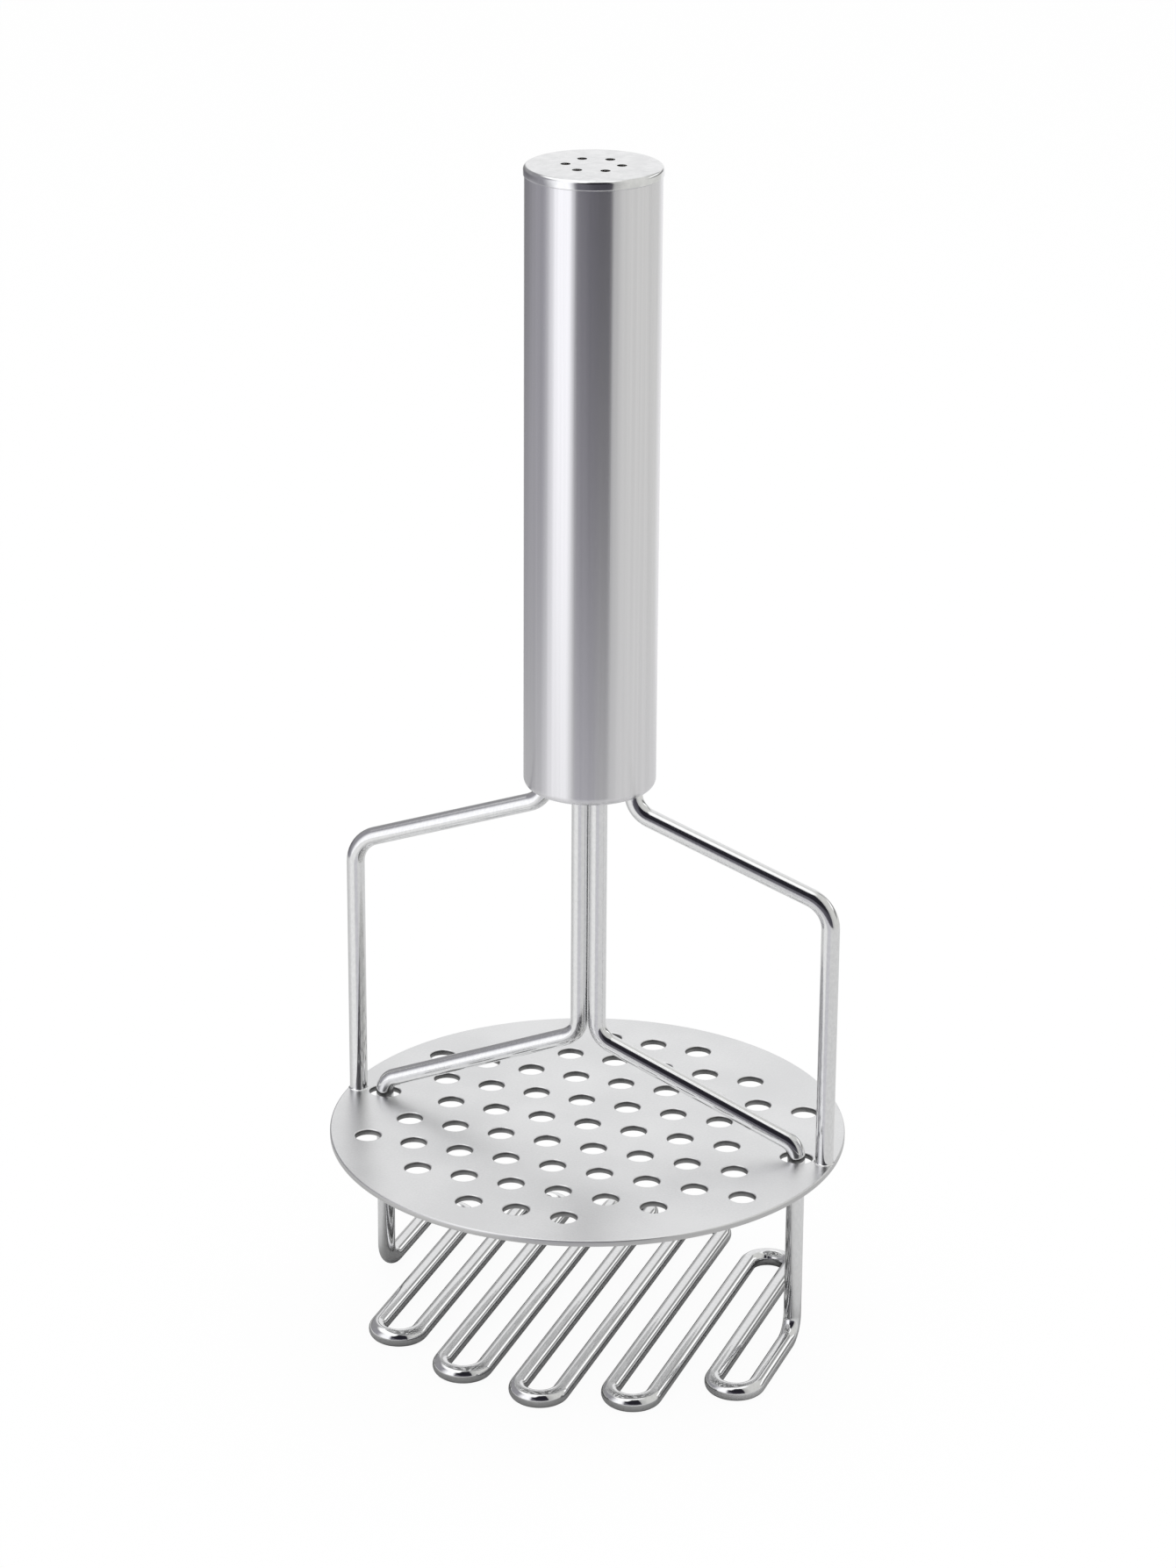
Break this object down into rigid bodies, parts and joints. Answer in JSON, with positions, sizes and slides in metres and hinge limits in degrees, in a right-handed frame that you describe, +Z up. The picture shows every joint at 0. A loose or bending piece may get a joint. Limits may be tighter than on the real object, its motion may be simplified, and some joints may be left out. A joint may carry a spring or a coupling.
{
  "type": "potato masher",
  "caption": "Double-action potato masher: a sprung tube handle pushes a perforated ricer plate down over a zigzag wire head.",
  "frame": {"origin": "centre of the wire head, on the surface that it stands on", "axes": "+Z up the handle, +X across to the right frame wire, +Y along the rows of the zigzag, away from the front"},
  "size_m": [0.12, 0.12, 0.2752],
  "materials": {
    "brushed_tube": "stainless steel, finely brushed round the tube",
    "polished_cap": "stainless steel, polished",
    "polished_wire": "stainless steel wire, polished",
    "satin_plate": "stainless steel sheet, satin",
    "turned_steel": "steel, plain turned",
    "spring_wire": "hard-drawn spring steel",
    "nylon": "natural nylon",
    "black_rubber": "black rubber"
  },
  "bodies": {
    "head": {"mashing_wire": "polished_wire", "crimp_sleeve": "turned_steel", "plunger": "nylon", "retaining_clip": "spring_wire", "compression_spring": "spring_wire"},
    "handle": {"handle_tube": "brushed_tube", "top_cap": "polished_cap", "spring_seat": "nylon", "base_plug": "turned_steel", "guide_bush": "nylon", "bump_stop": "black_rubber", "left_frame_wire": "polished_wire", "right_frame_wire": "polished_wire", "ricer_plate": "satin_plate"}
  },
  "joints": [
    {"name": "handle_press", "type": "slide", "parent": "head", "child": "handle", "axis": [0, 0, -1], "range_m": [0, 0.04], "stiffness_N_per_m": 475, "springref_m": -0.02, "deforming": ["compression_spring"]}
  ]
}
